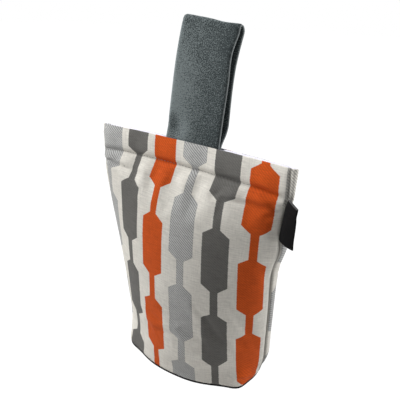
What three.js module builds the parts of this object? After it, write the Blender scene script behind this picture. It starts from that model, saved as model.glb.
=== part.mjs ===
// Weighted fabric door stop: a filled cloth bag with a stitched top hem, a strap handle sewn into
// the hem, a folded label in the right-hand seam and a dark base panel.
// Millimetres, +Z up. The hem and the handle run along X, and the front of the bag faces -Y.
import * as THREE from "three";

// Cloth bag: two flat panels sewn together, filled and closed by the hem.
const panelWidth = 180;
const panelHeight = 212.5;
const hemHeight = 19;
const hemThickness = 6.8;
const hemSquareness = 6;
const hemFlat = 6;
const hemFade = 28;
const stitchDent = 0.9;

// How the filling swells the bag: the half depth as a share of that at the base, by the share of
// the way from the hem stitches to the floor. Squareness is the power of the superellipse section:
// 2 is an ellipse and less than 2 pinches the sides to an edge.
const swell = [
  { down: 0.0724, depth: 0.24, squareness: 2.1 },
  { down: 0.1809, depth: 0.4644, squareness: 1.97 },
  { down: 0.3359, depth: 0.6756, squareness: 1.91 },
  { down: 0.6873, depth: 0.8956, squareness: 1.72 },
  { down: 0.8527, depth: 0.9778, squareness: 1.62 },
];
const baseHalfDepth = 45;
const baseSquareness = 2.3;

// The bag stands with its base turned, shifted and set back from the hem, as the filling settled.
const baseTwist = 0.175;
const baseShift = 7.7;
const baseSetBack = 15.5;
const bellySetBack = 6.5;
const hemBow = 4;
const settling = 0.8;

// Seams down the sides, in front of the right edge and behind the left one, and the relief that
// the sewing leaves in the cloth.
const seamOffset = 6;
const seamDent = 1.2;
const seamDentWidth = 2;
const puckerDepth = 0.9;
const puckerPitch = 21;
const puckerReach = 30;
const baseRollHeight = 9;
const baseRollInset = 1.4;
const baseEdgeInset = 0.8;
const baseEdgeHeight = 3;

// The filling pushes out a soft corner at each side of both panels where they meet the base.
const rightCorner = 58;
const leftCorner = 62;
const cornerFlare = 3.8;
const cornerWidth = 11;
const cornerHeight = 28;

// Print on the cloth: upright rows of long beads joined by short bars, in three colours by turns.
// Each row has no bar above its own start, which is measured down from the top edge.
const rowPitch = 28.83;
const firstRow = -77.2;
const beadHalfWidth = 10.75;
const barHalfWidth = 3.15;
const beadPitch = 76.2;
const barLength = 21.8;
const shoulderLength = 5.5;
const barStarts = [32, 18.9, 39.7, 16.3, 36.4, -20.8, 84, 29, 50, 16.3, 36.4, -20.8];
const cream = new THREE.Color(0.86, 0.85, 0.81);
const beadColours = [
  new THREE.Color(0.5, 0.5, 0.49),
  new THREE.Color(0.2, 0.19, 0.18),
  new THREE.Color(0.68, 0.17, 0.05),
];

// Handle: one flat strap folded into a loop, with both tails sewn between the panels of the hem.
const strapWidth = 50;
const strapThickness = 1.8;
const strapEdgeRounding = 0.5;
const handleHeight = 84;
const handleOffset = 3.5;
const handleSideLean = 0.05;
const handleTilt = 0.044;
const handleWarp = 0.5;
const topNarrowing = 1.2;
const tailDepth = 14;
const tailSpacing = 0.5;
const slotClearance = 0.3;
const slotFloorGap = 0.5;
const frontLean = [[0, 0], [14, 1], [28, 2.4], [50, 5.2], [66, 8.6], [80, 12.4]];
const backLean = [[0, 0], [4, 2.2], [9, 5.6], [16, 7.6], [36, 7.7], [54, 8.6], [66, 10.8], [80, 14.8]];

// Label: one black ribbon folded into a loop, its ends sewn into the right-hand seam.
const labelTop = 22.5;
const labelHeight = 36;
const labelLength = 15;
const labelPly = 0.45;
const labelFoldGap = 0.5;
const labelTurn = -0.66;
const labelTwist = 0.3;
const seatGap = 0.3;

// Base: a dark cloth panel that closes the bottom of the bag.
const baseThickness = 1.6;
const baseInset = 0.8;

const halfTurnWidth = panelWidth / 2;
const seamRight = halfTurnWidth - seamOffset;
const seamLeft = -halfTurnWidth - seamOffset;
const bagFloor = baseThickness + seatGap;
const tailHalf = strapThickness / 2 + tailSpacing / 2;
const slotHalfDepth = tailHalf + strapThickness / 2 + slotClearance;
const slotHalfWidth = strapWidth / 2 + slotClearance;

const smooth = (x) => {
  const t = Math.min(1, Math.max(0, x));
  return t * t * (3 - 2 * t);
};
const bump = (x) => Math.exp(-x * x);

// A smooth curve through [x, y] knots that never overshoots them.
function throughKnots(knots) {
  const step = knots.slice(1).map(([x, y], i) => [x - knots[i][0], (y - knots[i][1]) / (x - knots[i][0])]);
  const slopes = knots.map((knot, i) => {
    if (i === 0) return step[0][1];
    if (i === knots.length - 1) return step[i - 1][1];
    const [before, after] = [step[i - 1], step[i]];
    if (before[1] * after[1] <= 0) return 0;
    const w1 = 2 * after[0] + before[0];
    const w2 = after[0] + 2 * before[0];
    return (w1 + w2) / (w1 / before[1] + w2 / after[1]);
  });
  return (x) => {
    let i = 0;
    while (i < step.length - 1 && x > knots[i + 1][0]) i += 1;
    const width = step[i][0];
    const t = Math.min(1, Math.max(0, (x - knots[i][0]) / width));
    const rise = knots[i + 1][1] - knots[i][1];
    const [start, end] = [slopes[i] * width, slopes[i + 1] * width];
    return knots[i][1] + t * (start + t * (3 * rise - 2 * start - end + t * (start + end - 2 * rise)));
  };
}

const filledHeight = panelHeight - hemHeight;
const depthKnots = [
  [0, hemThickness / 2],
  [hemHeight, hemThickness / 2],
  ...swell.map((s) => [hemHeight + s.down * filledHeight, s.depth * baseHalfDepth]),
  [panelHeight, baseHalfDepth],
];
const squarenessKnots = [
  [0, hemSquareness],
  [hemHeight, hemSquareness],
  ...swell.map((s) => [hemHeight + s.down * filledHeight, s.squareness]),
  [panelHeight, baseSquareness],
];
const halfDepthAt = throughKnots(depthKnots);
const squarenessAt = throughKnots(squarenessKnots);
const setBackAt = throughKnots([[0, 0], [hemHeight, 0], [panelHeight / 2, bellySetBack], [panelHeight, baseSetBack]]);
const settledAt = (v) => 1 - (1 - v / panelHeight) ** settling;

// Heights: the cloth runs down the front of the bag, so its length there fixes the drop.
const heights = (() => {
  const steps = 420;
  const drop = panelHeight / steps;
  const front = (v) => setBackAt(v) - halfDepthAt(v);
  const list = [bagFloor];
  for (let i = steps; i > 0; i -= 1) {
    const lean = front(i * drop) - front((i - 1) * drop);
    list.push(list[list.length - 1] + Math.sqrt(Math.max(drop * drop - lean * lean, 0)));
  }
  return list.reverse();
})();
function heightAt(v) {
  const place = Math.min(v / panelHeight, 1) * (heights.length - 1);
  const i = Math.min(Math.floor(place), heights.length - 2);
  return heights[i] + (heights[i + 1] - heights[i]) * (place - i);
}

// Section of the bag at v below the top edge, as a dense closed outline that starts at the front
// centre and runs to the right, with the running length at each point.
const outlineSteps = 480;
function outline(halfWidth, halfDepth, squareness) {
  const points = [];
  for (let i = 0; i <= outlineSteps; i += 1) {
    const turn = (i / outlineSteps) * 2 * Math.PI - Math.PI / 2;
    const angle = Math.atan2(halfDepth * Math.sin(turn), halfWidth * Math.cos(turn));
    const [c, s] = [Math.cos(angle), Math.sin(angle)];
    const power = Math.abs(c / halfWidth) ** squareness + Math.abs(s / halfDepth) ** squareness;
    const radius = power ** (-1 / squareness);
    points.push(new THREE.Vector2(radius * c, radius * s));
  }
  const lengths = [0];
  for (let i = 1; i < points.length; i += 1) {
    lengths.push(lengths[i - 1] + points[i].distanceTo(points[i - 1]));
  }
  return { points, lengths, total: lengths[lengths.length - 1] };
}

// The cloth does not stretch, so the width follows from the depth.
function section(v) {
  const halfDepth = halfDepthAt(v);
  const squareness = squarenessAt(v);
  const hem = 1 - smooth((v - hemFlat) / hemFade);
  const girth = 2 * panelWidth + hemThickness * hem;
  let [low, high] = [panelWidth / 5, panelWidth / 2 + hemThickness];
  for (let i = 0; i < 22; i += 1) {
    const middle = (low + high) / 2;
    if (outline(middle, halfDepth, squareness).total > girth) high = middle;
    else low = middle;
  }
  return outline(low, halfDepth, squareness);
}

// Point and outward direction on a section at u, the cloth's distance round from the front centre.
function onSection(shape, u) {
  const whole = (((u / (2 * panelWidth)) % 1) + 1) % 1;
  const target = whole * shape.total;
  let [low, high] = [0, outlineSteps];
  while (high - low > 1) {
    const middle = (low + high) >> 1;
    if (shape.lengths[middle] <= target) low = middle;
    else high = middle;
  }
  const span = shape.lengths[low + 1] - shape.lengths[low];
  const part = (target - shape.lengths[low]) / span;
  const point = shape.points[low].clone().lerp(shape.points[low + 1], part);
  const along = shape.points[low + 1].clone().sub(shape.points[low]).normalize();
  return { point, outward: new THREE.Vector2(along.y, -along.x) };
}

// Distance from u to a line down the cloth, the short way round.
function apart(u, line) {
  const girth = 2 * panelWidth;
  return ((((u - line + panelWidth) % girth) + girth) % girth) - panelWidth;
}

const footCorners = [-leftCorner, rightCorner, panelWidth - rightCorner, panelWidth + leftCorner];

// How far the sewing pulls the cloth in (minus) or lets it puff out (plus).
function relief(u, v) {
  const below = v - hemHeight;
  const stitches = -stitchDent * bump(below / 2);
  const wave = Math.sin((2 * Math.PI * u) / puckerPitch) + 0.5 * Math.sin((2 * Math.PI * u) / (1.7 * puckerPitch) + 1);
  const reach = smooth(below / 8) * smooth((puckerReach - below) / puckerReach + 0.2);
  const puckers = puckerDepth * wave * reach;
  const sewn = smooth(below / 20) * smooth((panelHeight - v) / (2 * baseRollHeight));
  const seams = -seamDent * sewn * (bump(apart(u, seamRight) / seamDentWidth) + bump(apart(u, seamLeft) / seamDentWidth));
  const fromFloor = panelHeight - v;
  const roll = -baseRollInset * bump((fromFloor - baseRollHeight) / 4);
  const edge = -baseEdgeInset * (1 - smooth(fromFloor / baseEdgeHeight));
  const corners = footCorners.reduce((sum, line) => sum + bump(apart(u, line) / cornerWidth), 0);
  const flare = cornerFlare * corners * (1 - smooth(fromFloor / cornerHeight));
  return stitches + puckers + seams + roll + edge + flare;
}

// Place of the cloth at (u, v), in the frame of the hem: X along it, origin under its centre.
function clothPoint(shape, u, v) {
  const { point, outward } = onSection(shape, u);
  const most = 0.45 * Math.abs(point.y) + 0.35 * (1 - smooth(Math.abs(point.y)));
  const push = Math.max(relief(u, v), -most);
  point.addScaledVector(outward, push);
  const settled = settledAt(v);
  point.y += setBackAt(v) - hemBow * (1 - settled) * (point.x / halfTurnWidth) ** 2;
  point.rotateAround(new THREE.Vector2(0, 0), baseTwist * settled);
  return new THREE.Vector3(point.x + baseShift * settled, point.y, heightAt(v));
}

// Closed mesh over a stack of rings with equal counts. The rings run anticlockwise seen from above
// where the stack goes down, and a fan closes each end.
function closedStack(rings) {
  const count = rings[0].length;
  const points = rings.flat();
  const centre = (ring) => ring.reduce((sum, p) => sum.add(p), new THREE.Vector3()).divideScalar(count);
  const first = points.push(centre(rings[0])) - 1;
  const last = points.push(centre(rings[rings.length - 1])) - 1;
  const faces = [];
  for (let j = 0; j < count; j += 1) {
    const next = (j + 1) % count;
    faces.push([first, j, next]);
    for (let i = 0; i < rings.length - 1; i += 1) {
      const [upper, lower] = [i * count, (i + 1) * count];
      faces.push([upper + j, lower + j, lower + next], [upper + j, lower + next, upper + next]);
    }
    const end = (rings.length - 1) * count;
    faces.push([last, end + next, end + j]);
  }
  return { points, faces };
}

function toGeometry({ points, faces }, colourOf) {
  const place = [];
  const colours = [];
  faces.forEach((face, i) => {
    face.forEach((corner) => place.push(...points[corner].toArray()));
    if (colourOf) face.forEach(() => colours.push(...colourOf(i, face).toArray()));
  });
  const geometry = new THREE.BufferGeometry();
  geometry.setAttribute("position", new THREE.Float32BufferAttribute(place, 3));
  if (colourOf) geometry.setAttribute("color", new THREE.Float32BufferAttribute(colours, 3));
  geometry.computeVertexNormals();
  return geometry;
}

// Colour of the printed cloth at (u, v).
function printColour(u, v) {
  const fromFirst = u - (firstRow - rowPitch / 2);
  const round = ((fromFirst % (2 * panelWidth)) + 2 * panelWidth) % (2 * panelWidth);
  const row = Math.floor(round / rowPitch);
  const across = Math.abs(round - (row + 0.5) * rowPitch);
  const fromStart = v - barStarts[row % barStarts.length];
  const down = fromStart % beadPitch;
  const intoBead = fromStart < 0 ? -fromStart : Math.min(down - barLength, beadPitch - down);
  const share = Math.min(1, Math.max(0, intoBead / shoulderLength));
  const halfWidth = barHalfWidth + (beadHalfWidth - barHalfWidth) * share;
  return across < halfWidth ? beadColours[row % beadColours.length] : cream;
}

// Lines down the cloth where the mesh has an edge: the sides of the print and the seams.
function columnLines() {
  const lines = [];
  for (let row = 0; row < barStarts.length; row += 1) {
    const middle = firstRow + row * rowPitch;
    lines.push(middle - beadHalfWidth, middle - barHalfWidth, middle + barHalfWidth, middle + beadHalfWidth);
  }
  for (const seam of [seamRight, seamLeft + 2 * panelWidth]) {
    lines.push(seam - seamDentWidth, seam, seam + seamDentWidth);
  }
  lines.push(-halfTurnWidth, halfTurnWidth);
  const start = -halfTurnWidth;
  const end = start + 2 * panelWidth;
  const kept = lines.filter((u) => u >= start && u < end - 1.5).sort((a, b) => a - b);
  const spaced = kept.filter((u, i) => i === 0 || u - kept[i - 1] > 0.9);
  return spaced.flatMap((u, i) => {
    const width = (i + 1 < spaced.length ? spaced[i + 1] : end) - u;
    const parts = Math.ceil(width / 4.4);
    return Array.from({ length: parts }, (_, k) => u + (width * k) / parts);
  });
}

// Lines round the cloth, closer together at the hem stitches and at the roll above the floor.
function rowLines() {
  const nearHem = [0, 0.37, 0.68, 0.87, 1, 1.13, 1.32, 1.58].map((share) => share * hemHeight);
  const nearFloor = [1.6, 1.25, 0.95, 0.66, 0.39, 0.17, 0].map((share) => panelHeight - share * baseRollHeight);
  const from = 1.9 * hemHeight;
  const to = panelHeight - 2.1 * baseRollHeight;
  const count = 24;
  const between = Array.from({ length: count + 1 }, (_, i) => from + ((to - from) * i) / count);
  return [...nearHem, ...between, ...nearFloor];
}

// Ring of the slot in the hem that takes the strap's tails, matched to the bag's columns.
function slotRing(columns, z) {
  const corner = seamRight / halfTurnWidth;
  return columns.map((u) => {
    const back = u > halfTurnWidth;
    const share = (back ? panelWidth - u : u) / halfTurnWidth;
    const along = Math.min(1, Math.abs(share) / corner);
    const round = Math.max(0, Math.abs(share) - corner) / (1 - corner);
    const y = slotHalfDepth * (1 - round) * (back ? 1 : -1);
    return new THREE.Vector3(handleOffset + Math.sign(share) * along * slotHalfWidth, y, z);
  });
}

function bagGeometry() {
  const columns = columnLines();
  const rows = rowLines();
  const rings = rows.map((v) => {
    const shape = section(v);
    return columns.map((u) => clothPoint(shape, u, v));
  });
  const top = heightAt(0);
  rings.unshift(slotRing(columns, top - tailDepth - slotFloorGap), slotRing(columns, top));
  const stack = closedStack(rings);
  const count = columns.length;
  const clothColour = (i, face) => {
    const onRows = face.every((corner) => corner >= 2 * count && corner < rings.length * count);
    if (!onRows) return cream;
    const spots = face.map((corner) => [columns[corner % count], rows[Math.floor(corner / count) - 2]]);
    const seam = Math.max(...spots.map((s) => s[0])) - Math.min(...spots.map((s) => s[0])) > panelWidth;
    const u = spots.reduce((sum, s) => sum + (seam && s[0] < 0 ? s[0] + 2 * panelWidth : s[0]), 0) / 3;
    const v = spots.reduce((sum, s) => sum + s[1], 0) / 3;
    return printColour(u, v);
  };
  return toGeometry(stack, clothColour);
}

// Middle of the strap at a share of its run: up the front leg, over the fold, down the back leg.
function strapPath() {
  const front = throughKnots(frontLean);
  const back = throughKnots(backLean);
  const frontTop = front(frontLean[frontLean.length - 1][0]);
  const backTop = back(backLean[backLean.length - 1][0]);
  const legTop = frontLean[frontLean.length - 1][0];
  const foldDepth = (backTop - frontTop) / 2 + tailHalf;
  const path = [[-tailHalf, -tailDepth], [-tailHalf, -tailDepth / 2]];
  const legSteps = 22;
  for (let i = 0; i <= legSteps; i += 1) {
    const h = (legTop * i) / legSteps;
    path.push([front(h) - tailHalf, h]);
  }
  const foldSteps = 8;
  for (let i = 1; i < foldSteps; i += 1) {
    const angle = Math.PI * (1 - i / foldSteps);
    const middle = (frontTop + backTop) / 2;
    const lean = (i / foldSteps - 0.5) * 0.4;
    path.push([middle + foldDepth * Math.cos(angle) + lean, legTop + (handleHeight - legTop) * Math.sin(angle)]);
  }
  for (let i = legSteps; i >= 0; i -= 1) {
    const h = (legTop * (i / legSteps) ** 1.25);
    path.push([back(h) + tailHalf, h]);
  }
  path.push([tailHalf, -tailDepth / 2], [tailHalf, -tailDepth]);
  return path.map(([d, h]) => new THREE.Vector2(d, h));
}

// Rounded flat section of the strap, as [across, through] shares of its width and thickness.
function strapSection(halfWidth) {
  const halfPly = strapThickness / 2;
  const r = strapEdgeRounding;
  const quarter = [[halfWidth, halfPly - r], [halfWidth - r / 2, halfPly - r / 3], [halfWidth - 2 * r, halfPly]];
  const right = [...quarter, ...quarter.map(([x, y]) => [x, -y]).reverse()];
  const middle = [[halfWidth / 3, -halfPly], [-halfWidth / 3, -halfPly]];
  const left = right.map(([x, y]) => [-x, y]).reverse();
  const upper = [[-halfWidth / 3, halfPly], [halfWidth / 3, halfPly]];
  return [...right, ...middle, ...left, ...upper];
}

function handleGeometry() {
  const path = strapPath();
  const top = heightAt(0);
  const rings = path.map((spot, i) => {
    const ahead = path[Math.min(i + 1, path.length - 1)].clone();
    const along = ahead.sub(path[Math.max(i - 1, 0)]).normalize();
    const inward = new THREE.Vector2(along.y, -along.x);
    const raised = smooth(spot.y / handleHeight);
    const halfWidth = strapWidth / 2 - topNarrowing * smooth((spot.y - handleHeight + 6) / 6);
    return strapSection(halfWidth).map(([across, through]) => {
      const share = across / (strapWidth / 2);
      const height = Math.max(spot.y, 0);
      const tilt = 1 - handleTilt * share * raised;
      const warp = -handleWarp * share * Math.sin(Math.PI * Math.min(1, height / handleHeight)) ** 2;
      const d = spot.x + inward.x * through + warp;
      const h = spot.y * (spot.y > 0 ? tilt : 1) + inward.y * through;
      return new THREE.Vector3(handleOffset + across + handleSideLean * raised * height, d, top + h);
    });
  });
  return toGeometry(closedStack(rings));
}

// Hairpin section of the folded label: out along one ply, round the fold and back along the other.
function labelSection() {
  const outer = labelPly + labelFoldGap / 2;
  const inner = labelFoldGap / 2;
  const foldAt = labelLength - outer;
  const turn = (radius, angle) => [foldAt + radius * Math.cos(angle), radius * Math.sin(angle)];
  const angles = [-1, -0.5, 0, 0.5, 1].map((a) => (a * Math.PI) / 2);
  const outside = [[0, -outer], [foldAt / 2, -outer], ...angles.map((a) => turn(outer, a)), [foldAt / 2, outer], [0, outer]];
  const inside = [[0, inner], [foldAt / 2, inner], ...angles.map((a) => turn(inner, -a)), [foldAt / 2, -inner], [0, -inner]];
  return [...outside, ...inside];
}

function labelGeometry() {
  const outlinePoints = labelSection();
  const steps = 12;
  const rings = [];
  for (let i = 0; i <= steps; i += 1) {
    const v = labelTop + (labelHeight * i) / steps;
    const root = clothPoint(section(v), seamRight, v);
    const turn = labelTurn + labelTwist * (i / steps - 0.5);
    const out = new THREE.Vector3(Math.cos(turn), Math.sin(turn), 0);
    const side = new THREE.Vector3(-Math.sin(turn), Math.cos(turn), 0);
    const start = seatGap + labelPly + seamDent;
    rings.push(outlinePoints.map(([along, through]) => root.clone()
      .addScaledVector(out, start + along)
      .addScaledVector(side, through)));
  }
  return toGeometry(hairpinStack(rings, outlinePoints));
}

// Closed mesh over rings whose outline is not convex: the ends are cut into triangles.
function hairpinStack(rings, outlinePoints) {
  const count = outlinePoints.length;
  const contour = outlinePoints.map(([x, y]) => new THREE.Vector2(x, y));
  const cap = THREE.ShapeUtils.triangulateShape(contour, []);
  const faces = [];
  for (let i = 0; i < rings.length - 1; i += 1) {
    for (let j = 0; j < count; j += 1) {
      const next = (j + 1) % count;
      const [upper, lower] = [i * count, (i + 1) * count];
      faces.push([upper + j, lower + j, lower + next], [upper + j, lower + next, upper + next]);
    }
  }
  const end = (rings.length - 1) * count;
  cap.forEach(([a, b, c]) => faces.push([a, b, c], [end + c, end + b, end + a]));
  return { points: rings.flat(), faces };
}

function baseGeometry() {
  const shape = section(panelHeight);
  const columns = columnLines();
  const ring = columns.map((u) => clothPoint(shape, u, panelHeight));
  const middle = ring.reduce((sum, p) => sum.add(p), new THREE.Vector3()).divideScalar(ring.length);
  const rounding = 0.4;
  const inset = (p, by, z) => {
    const arm = new THREE.Vector3(p.x - middle.x, p.y - middle.y, 0);
    arm.setLength(arm.length() - by);
    return new THREE.Vector3(middle.x + arm.x, middle.y + arm.y, z);
  };
  const levels = [[0, baseThickness], [0, rounding], [rounding, 0]];
  return toGeometry(closedStack(levels.map(([by, z]) => ring.map((p) => inset(p, baseInset + by, z)))));
}

function piece(name, geometry, colour, roughness, printed = false) {
  const look = { color: colour, roughness, metalness: 0, vertexColors: printed };
  const mesh = new THREE.Mesh(geometry, new THREE.MeshStandardMaterial(look));
  mesh.name = name;
  return mesh;
}

const doorStop = new THREE.Group();
doorStop.add(piece("filled_bag", bagGeometry(), new THREE.Color(1, 1, 1), 0.95, true));
doorStop.add(piece("base_panel", baseGeometry(), new THREE.Color(0.02, 0.02, 0.02), 0.95));
doorStop.add(piece("handle_loop", handleGeometry(), new THREE.Color(0.1, 0.13, 0.14), 0.9));
doorStop.add(piece("side_label", labelGeometry(), new THREE.Color(0.01, 0.01, 0.01), 0.7));

// Origin on the floor, under the middle of the whole door stop.
const extent = new THREE.Box3().setFromObject(doorStop);
const middle = extent.getCenter(new THREE.Vector3());
doorStop.position.set(-middle.x, -middle.y, -extent.min.z);

export default doorStop;
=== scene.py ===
import math

import bmesh
import bpy
import numpy as np
from mathutils import Matrix, Vector


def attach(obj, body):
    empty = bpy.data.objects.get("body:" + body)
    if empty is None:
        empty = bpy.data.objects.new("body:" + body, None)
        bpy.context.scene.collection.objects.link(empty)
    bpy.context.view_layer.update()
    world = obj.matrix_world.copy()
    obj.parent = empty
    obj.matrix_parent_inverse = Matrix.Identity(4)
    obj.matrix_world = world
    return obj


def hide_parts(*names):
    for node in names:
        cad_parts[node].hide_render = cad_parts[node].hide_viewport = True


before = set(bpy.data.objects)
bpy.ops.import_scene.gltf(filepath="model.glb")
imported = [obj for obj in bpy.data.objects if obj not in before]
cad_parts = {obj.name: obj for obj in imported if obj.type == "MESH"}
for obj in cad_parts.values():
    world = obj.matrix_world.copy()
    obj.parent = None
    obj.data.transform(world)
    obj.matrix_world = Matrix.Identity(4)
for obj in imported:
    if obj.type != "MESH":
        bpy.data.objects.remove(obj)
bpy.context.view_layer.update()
scene = bpy.context.scene
mm = 0.001

# Camera. It stands close to the door stop and looks down on it from the front right, so the bag
# narrows strongly towards the floor. The picture is turned a little, as in the photograph.
camera_place = Vector((0.17044, -0.24135, 0.28926))
camera_azimuth = math.radians(35.51)
camera_elevation = math.radians(24.19)
camera_roll = math.radians(2.13)
camera_lens = 35.03

back = Vector((math.sin(camera_azimuth) * math.cos(camera_elevation),
               -math.cos(camera_azimuth) * math.cos(camera_elevation),
               math.sin(camera_elevation)))
level = Vector((math.cos(camera_azimuth), math.sin(camera_azimuth), 0))
upright = back.cross(level)
right = level * math.cos(camera_roll) + upright * math.sin(camera_roll)
above = upright * math.cos(camera_roll) - level * math.sin(camera_roll)
camera = bpy.data.objects.new("camera", bpy.data.cameras.new("camera"))
camera.data.lens = camera_lens
camera.data.sensor_width = 36  # millimetres, as the lens
camera.data.clip_start = 0.01
camera.matrix_world = Matrix((
    (right.x, above.x, back.x, camera_place.x),
    (right.y, above.y, back.y, camera_place.y),
    (right.z, above.z, back.z, camera_place.z),
    (0, 0, 0, 1)))
scene.collection.objects.link(camera)
scene.camera = camera
scene.view_settings.view_transform = "Standard"

# Studio. A white floor runs out of sight under a white surround. A key lamp and a higher one
# stand on the left, and a lamp on the far right lights the side with the label.
floor_size = 60
floor_glow = 1.12
floor_glow_share = 0.9
floor_colour = (0.75, 0.75, 0.75, 1)
surround_strength = 0.04
key_place = Vector((-1.107, -0.516, 1.074))
key_size = 0.6
key_power = 18.0
top_place = Vector((-0.6595, -0.3075, 1.4886))
top_size = 0.6
top_power = 11.6
rim_place = Vector((1.12, 0.58, 0.68))
rim_size = 0.8
rim_power = 13
lamp_aim = Vector((0, 0, 0.12))
white = (1, 1, 1, 1)


def new_material(name):
    """A new node material with its Principled shader, and its tree."""
    made = bpy.data.materials.new(name)
    made.use_nodes = True
    return made, made.node_tree, made.node_tree.nodes["Principled BSDF"]


def add_object(name, data):
    made = bpy.data.objects.new(name, data)
    scene.collection.objects.link(made)
    return made


def add_node(tree, kind, inputs=(), **settings):
    """A node with its settings. Inputs go by place or name, and each is a value or an output socket."""
    node = tree.nodes.new(kind)
    for name, value in settings.items():
        setattr(node, name, value)
    for name, value in dict(inputs).items():
        if isinstance(value, bpy.types.NodeSocket):
            tree.links.new(value, node.inputs[name])
        else:
            node.inputs[name].default_value = value
    return node


def calculate(tree, operation, *values, clamp=False):
    """A math node: each value is a number or an output socket."""
    node = add_node(tree, "ShaderNodeMath", enumerate(values), operation=operation, use_clamp=clamp)
    return node.outputs[0]


def seen_white(tree):
    """One where a ray comes from the camera, or by way of gloss or glass, so white stays white."""
    path = tree.nodes.new("ShaderNodeLightPath").outputs
    either = calculate(tree, "MAXIMUM", path["Is Camera Ray"], path["Is Glossy Ray"])
    return calculate(tree, "MAXIMUM", either, path["Is Transmission Ray"])


floor = add_object("floor", bpy.data.meshes.new("floor"))
half = floor_size / 2
corners = [(-half, -half, 0), (half, -half, 0), (half, half, 0), (-half, half, 0)]
floor.data.from_pydata(corners, [], [(0, 1, 2, 3)])
floor_paint, tree, shader = new_material("floor_paint")
shader.inputs["Base Color"].default_value = floor_colour
shader.inputs["Roughness"].default_value = 0.9
glow = add_node(tree, "ShaderNodeEmission", {"Color": white, "Strength": floor_glow})
share = calculate(tree, "MULTIPLY", seen_white(tree), floor_glow_share)
blend = add_node(tree, "ShaderNodeMixShader", enumerate((share, shader.outputs[0], glow.outputs[0])))
tree.links.new(blend.outputs[0], tree.nodes["Material Output"].inputs[0])
floor.data.materials.append(floor_paint)

surround = bpy.data.worlds.new("surround")
scene.world = surround
surround.use_nodes = True
tree = surround.node_tree
soft_light = tree.nodes["Background"]
soft_light.inputs["Color"].default_value = white
soft_light.inputs["Strength"].default_value = surround_strength
backdrop = add_node(tree, "ShaderNodeBackground", {"Color": white, "Strength": 1})
blend = add_node(tree, "ShaderNodeMixShader",
                 enumerate((seen_white(tree), soft_light.outputs[0], backdrop.outputs[0])))
tree.links.new(blend.outputs[0], tree.nodes["World Output"].inputs[0])


def add_lamp(name, place, size, power):
    """A round area lamp that points at the door stop and isn't seen itself."""
    lamp = add_object(name, bpy.data.lights.new(name, "AREA"))
    lamp.data.shape = "DISK"
    lamp.data.size = size
    lamp.data.energy = power
    lamp.location = place
    lamp.visible_camera = False
    lamp.rotation_euler = (lamp_aim - place).to_track_quat("-Z", "Y").to_euler()


add_lamp("key_lamp", key_place, key_size, key_power)
add_lamp("top_lamp", top_place, top_size, top_power)
add_lamp("rim_lamp", rim_place, rim_size, rim_power)

# Cloth bag. The front and back panels are printed cotton, sewn together down both sides and along
# a stitched hem, and heavy filling swells them from the hem to the floor. The cloth doesn't
# stretch, so each section keeps the same girth and the print is laid out along the cloth itself.
hem_middle = np.array((-3.62, -15.0))
panel_width = 180.0
panel_height = 212.5
hem_height = 19.0
hem_thickness = 6.8
hem_flat = 6.0
bag_floor = 1.9
seam_right = 84.0
seam_left = -96.0
hem_release = 28.0
# Knots: the length of cloth from the top edge in millimetres, and the value there.
swell_knots = ((0, 3.4), (19, 3.4), (33, 10.8), (54, 20.9), (84, 30.4), (152, 40.3), (184, 44.0),
               (212.5, 45.0))
squareness_knots = ((0, 6), (19, 6), (33, 2.1), (54, 1.97), (84, 1.91), (152, 1.72), (184, 1.62),
                    (212.5, 2.3))
set_back_knots = ((0, 0), (19, 0), (106.25, 6.5), (212.5, 15.5))
base_twist = 0.175
base_shift = 7.7
hem_bow = 4.0
settling = 0.8


def smooth(x):
    """Rises gently from 0 to 1 as x does."""
    t = np.clip(x, 0, 1)
    return t * t * (3 - 2 * t)


def rise(x, start, end):
    return smooth((x - start) / (end - start))


def fall(x, start, end):
    return smooth((end - x) / (end - start))


def near(x, at, reach):
    """1 at a place, and next to nothing at twice the reach from it."""
    return np.exp(-np.square((x - at) / reach))


def through_knots(knots):
    """A smooth curve through the knots that never overshoots them."""
    x, y = np.array(knots, float).T
    width = np.diff(x)
    slope = np.diff(y) / width
    tangent = np.zeros(len(x))
    tangent[0], tangent[-1] = slope[0], slope[-1]
    for i in range(1, len(x) - 1):
        if slope[i - 1] * slope[i] > 0:
            w1 = 2 * width[i] + width[i - 1]
            w2 = width[i] + 2 * width[i - 1]
            tangent[i] = (w1 + w2) / (w1 / slope[i - 1] + w2 / slope[i])

    def curve(at):
        at = np.asarray(at, float)
        i = np.clip(np.searchsorted(x, at, "right") - 1, 0, len(width) - 1)
        t = np.clip((at - x[i]) / width[i], 0, 1)
        gain = y[i + 1] - y[i]
        start, end = tangent[i] * width[i], tangent[i + 1] * width[i]
        return y[i] + t * (start + t * (3 * gain - 2 * start - end + t * (start + end - 2 * gain)))

    return curve


half_depth_at = through_knots(swell_knots)
squareness_at = through_knots(squareness_knots)
set_back_at = through_knots(set_back_knots)


def settled_at(v):
    """Share of the bag's twist and shift that v has, from 0 at the top edge to 1 at the foot."""
    return 1 - (1 - v / panel_height) ** settling


def height_table(steps=420):
    """Heights of the cloth, by its length down the front of the bag."""
    v = np.linspace(0, panel_height, steps + 1)
    lean = np.diff(set_back_at(v) - half_depth_at(v))
    drop = np.sqrt(np.maximum(np.diff(v) ** 2 - lean ** 2, 0))
    return v, bag_floor + drop.sum() - np.concatenate(([0], np.cumsum(drop)))


height_v, height_z = height_table()


def height_at(v):
    return np.interp(v, height_v, height_z)


def outline(half_width, half_depth, squareness, steps=720):
    """A superellipse from the front centre round by the right, with the running length."""
    turn = np.linspace(0, 2 * np.pi, steps + 1) - np.pi / 2
    angle = np.arctan2(half_depth * np.sin(turn), half_width * np.cos(turn))
    c, s = np.cos(angle), np.sin(angle)
    power = np.abs(c / half_width) ** squareness + np.abs(s / half_depth) ** squareness
    radius = power ** (-1 / squareness)
    x, y = radius * c, radius * s
    length = np.concatenate(([0], np.cumsum(np.hypot(np.diff(x), np.diff(y)))))
    return x, y, length


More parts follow.
